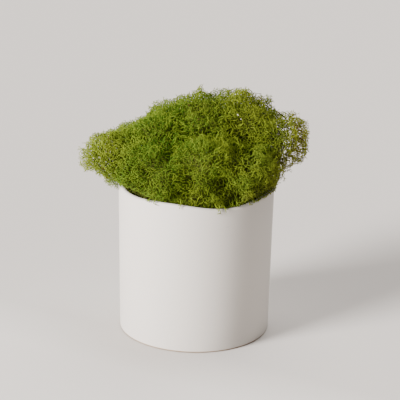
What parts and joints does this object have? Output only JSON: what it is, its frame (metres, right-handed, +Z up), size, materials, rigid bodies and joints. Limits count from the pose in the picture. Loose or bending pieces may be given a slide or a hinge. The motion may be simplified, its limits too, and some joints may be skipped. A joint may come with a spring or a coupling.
{
  "type": "preserved moss pot arrangement",
  "caption": "White ceramic cylinder pot with a slightly wavy rim, filled with dry foam and heaped with tufts of green reindeer moss that spread past the rim.",
  "frame": {"origin": "centre of the pot's flat foot, on the surface it stands on", "axes": "+Z up along the pot's axis, -Y towards the side that the picture shows, +X to its right"},
  "size_m": [0.1514, 0.1125, 0.1612],
  "materials": {
    "pot": "matte",
    "foam": "matte",
    "moss_green": "matte",
    "moss_lime": "matte",
    "moss_olive": "matte"
  },
  "bodies": {
    "root": {"pot": "pot", "foam_block": "foam", "moss_tuft_left": "moss_lime", "moss_tuft_right": "moss_olive", "moss_tuft_crown_left": "moss_green", "moss_tuft_crown": "moss_green", "moss_tuft_crown_right": "moss_lime", "moss_tuft_front_left": "moss_green", "moss_tuft_front": "moss_lime", "moss_tuft_front_right": "moss_green", "moss_tuft_back_left": "moss_green", "moss_tuft_back": "moss_lime", "moss_tuft_back_right": "moss_olive"}
  },
  "joints": []
}
